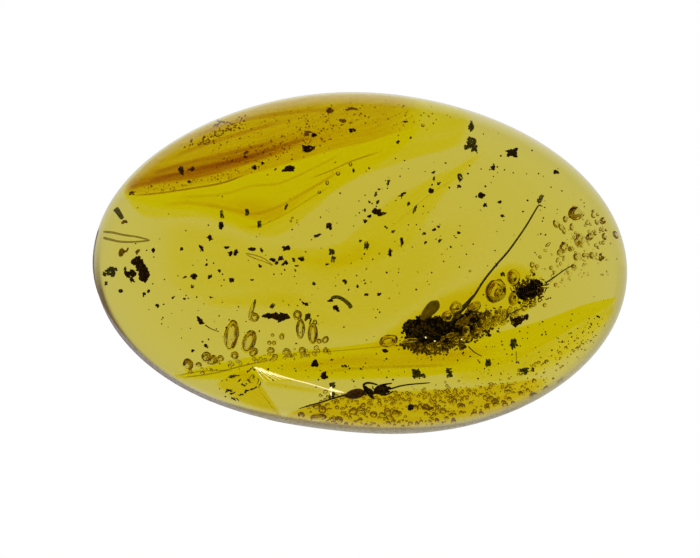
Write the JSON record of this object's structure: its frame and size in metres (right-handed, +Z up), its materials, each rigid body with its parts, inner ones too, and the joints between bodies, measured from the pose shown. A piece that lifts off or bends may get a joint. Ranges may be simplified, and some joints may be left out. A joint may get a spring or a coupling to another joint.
{
  "type": "insect in amber",
  "caption": "Polished oval pebble of clear yellow amber, flat underneath and domed above, with an ant and bubbles sealed inside.",
  "frame": {"origin": "middle of the bounding box in X and Y, at the level of the flat base", "axes": "+X along the length of the oval, +Y across it, +Z up out of the flat base"},
  "size_m": [0.034, 0.0218, 0.009],
  "materials": {
    "amber": "hand polished, clear",
    "insect": "dark reddish brown chitin, slightly glossy",
    "debris": "matt plant grains and dust",
    "gas": "clear bubbles and cracks inside the amber",
    "flow": "thin darker layers between two flows of resin"
  },
  "bodies": {
    "root": {"amber": "amber"}
  },
  "joints": []
}
